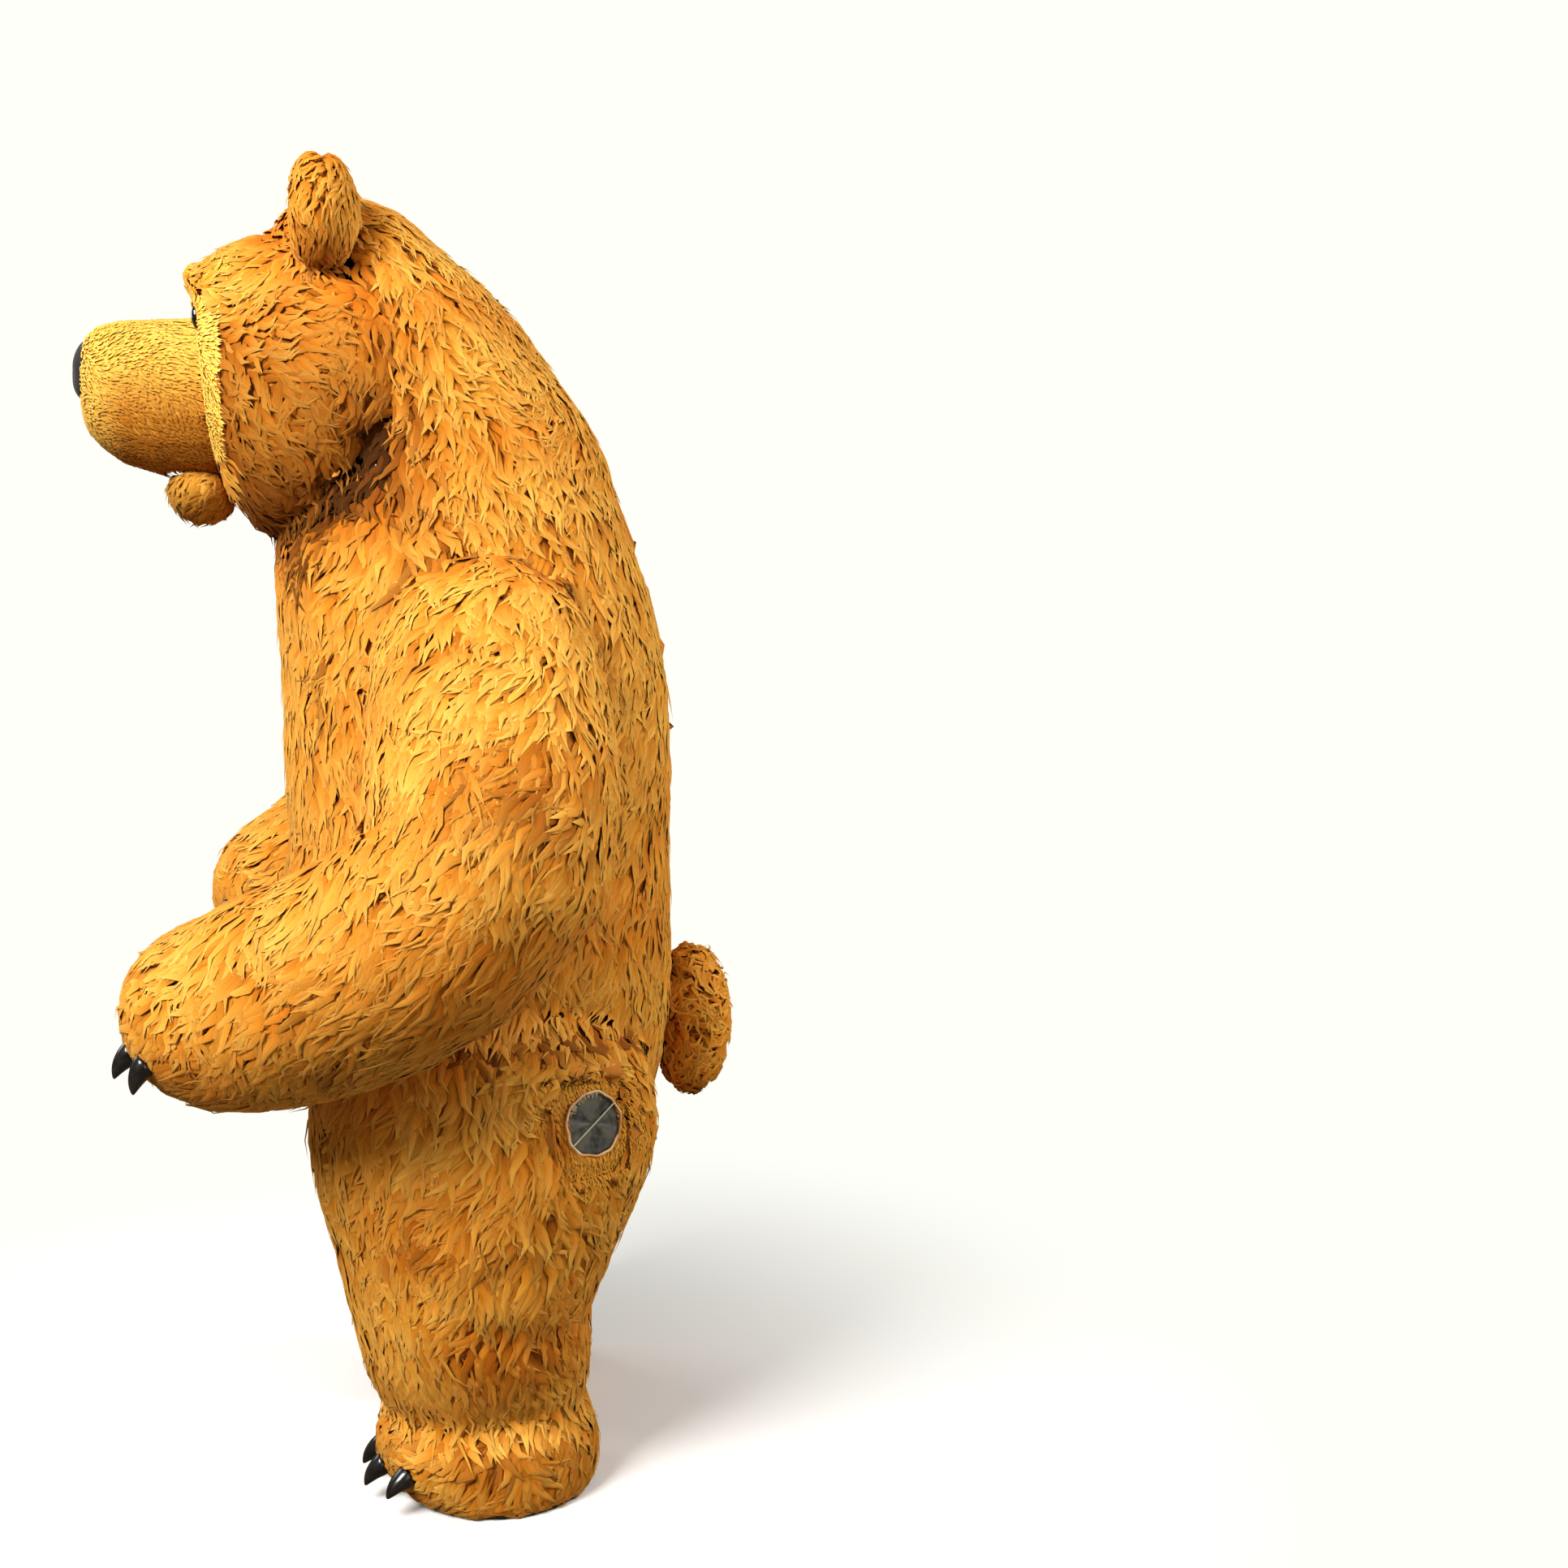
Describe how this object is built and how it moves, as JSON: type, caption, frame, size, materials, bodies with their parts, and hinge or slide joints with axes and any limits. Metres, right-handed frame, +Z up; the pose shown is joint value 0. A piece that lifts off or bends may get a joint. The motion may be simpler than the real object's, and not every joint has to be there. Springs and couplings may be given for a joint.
{
  "type": "bear mascot costume",
  "caption": "Inflated hollow bear suit of long-pile plush, with a short-pile muzzle and face, clawed paws and feet, a round tail, a centre-back zip and a net air inlet in the hip.",
  "frame": {"origin": "on the floor, at the centre of the box that holds the suit", "axes": "+Z up through the head, the front faces -Y, the suit's left side is +X"},
  "size_m": [1.6666, 1.278, 2.6078],
  "materials": {
    "long_plush": "golden long-pile plush, combed down",
    "short_plush": "light yellow short-pile plush",
    "curly_plush": "orange curly plush",
    "claw_gloss": "black gloss",
    "eye_gloss": "black gloss",
    "nose_felt": "dark short-nap felt",
    "sole_cloth": "dark brown coated sole cloth",
    "vent_net": "dark grey close net",
    "cream_tape": "cream tape and cord",
    "zip_tape": "golden brown zip tape"
  },
  "bodies": {
    "root": {"torso_front": "long_plush", "torso_back_left": "long_plush", "torso_back_right": "long_plush", "crotch_gusset": "long_plush", "head_back": "long_plush", "brow": "long_plush", "cheek_left": "long_plush", "cheek_right": "long_plush", "ear_left": "long_plush", "ear_right": "long_plush", "sleeve_outer_left": "long_plush", "sleeve_inner_left": "long_plush", "sleeve_outer_right": "long_plush", "sleeve_inner_right": "long_plush", "paw_left": "long_plush", "paw_right": "long_plush", "leg_outer_left": "long_plush", "leg_inner_left": "long_plush", "leg_outer_right": "long_plush", "leg_inner_right": "long_plush", "foot_left": "long_plush", "foot_right": "long_plush", "face_mask": "short_plush", "snout": "short_plush", "chin": "short_plush", "vent_patch": "short_plush", "tail": "curly_plush", "claw_paw_left_1": "claw_gloss", "claw_paw_left_2": "claw_gloss", "claw_paw_left_3": "claw_gloss", "claw_paw_left_4": "claw_gloss", "claw_paw_right_1": "claw_gloss", "claw_paw_right_2": "claw_gloss", "claw_paw_right_3": "claw_gloss", "claw_paw_right_4": "claw_gloss", "claw_foot_left_1": "claw_gloss", "claw_foot_left_2": "claw_gloss", "claw_foot_left_3": "claw_gloss", "claw_foot_left_4": "claw_gloss", "claw_foot_right_1": "claw_gloss", "claw_foot_right_2": "claw_gloss", "claw_foot_right_3": "claw_gloss", "claw_foot_right_4": "claw_gloss", "eye_left": "eye_gloss", "eye_right": "eye_gloss", "nose": "nose_felt", "sole_left": "sole_cloth", "sole_right": "sole_cloth", "vent_net": "vent_net", "vent_binding": "cream_tape", "vent_cord": "cream_tape", "back_zip": "zip_tape"}
  },
  "joints": []
}
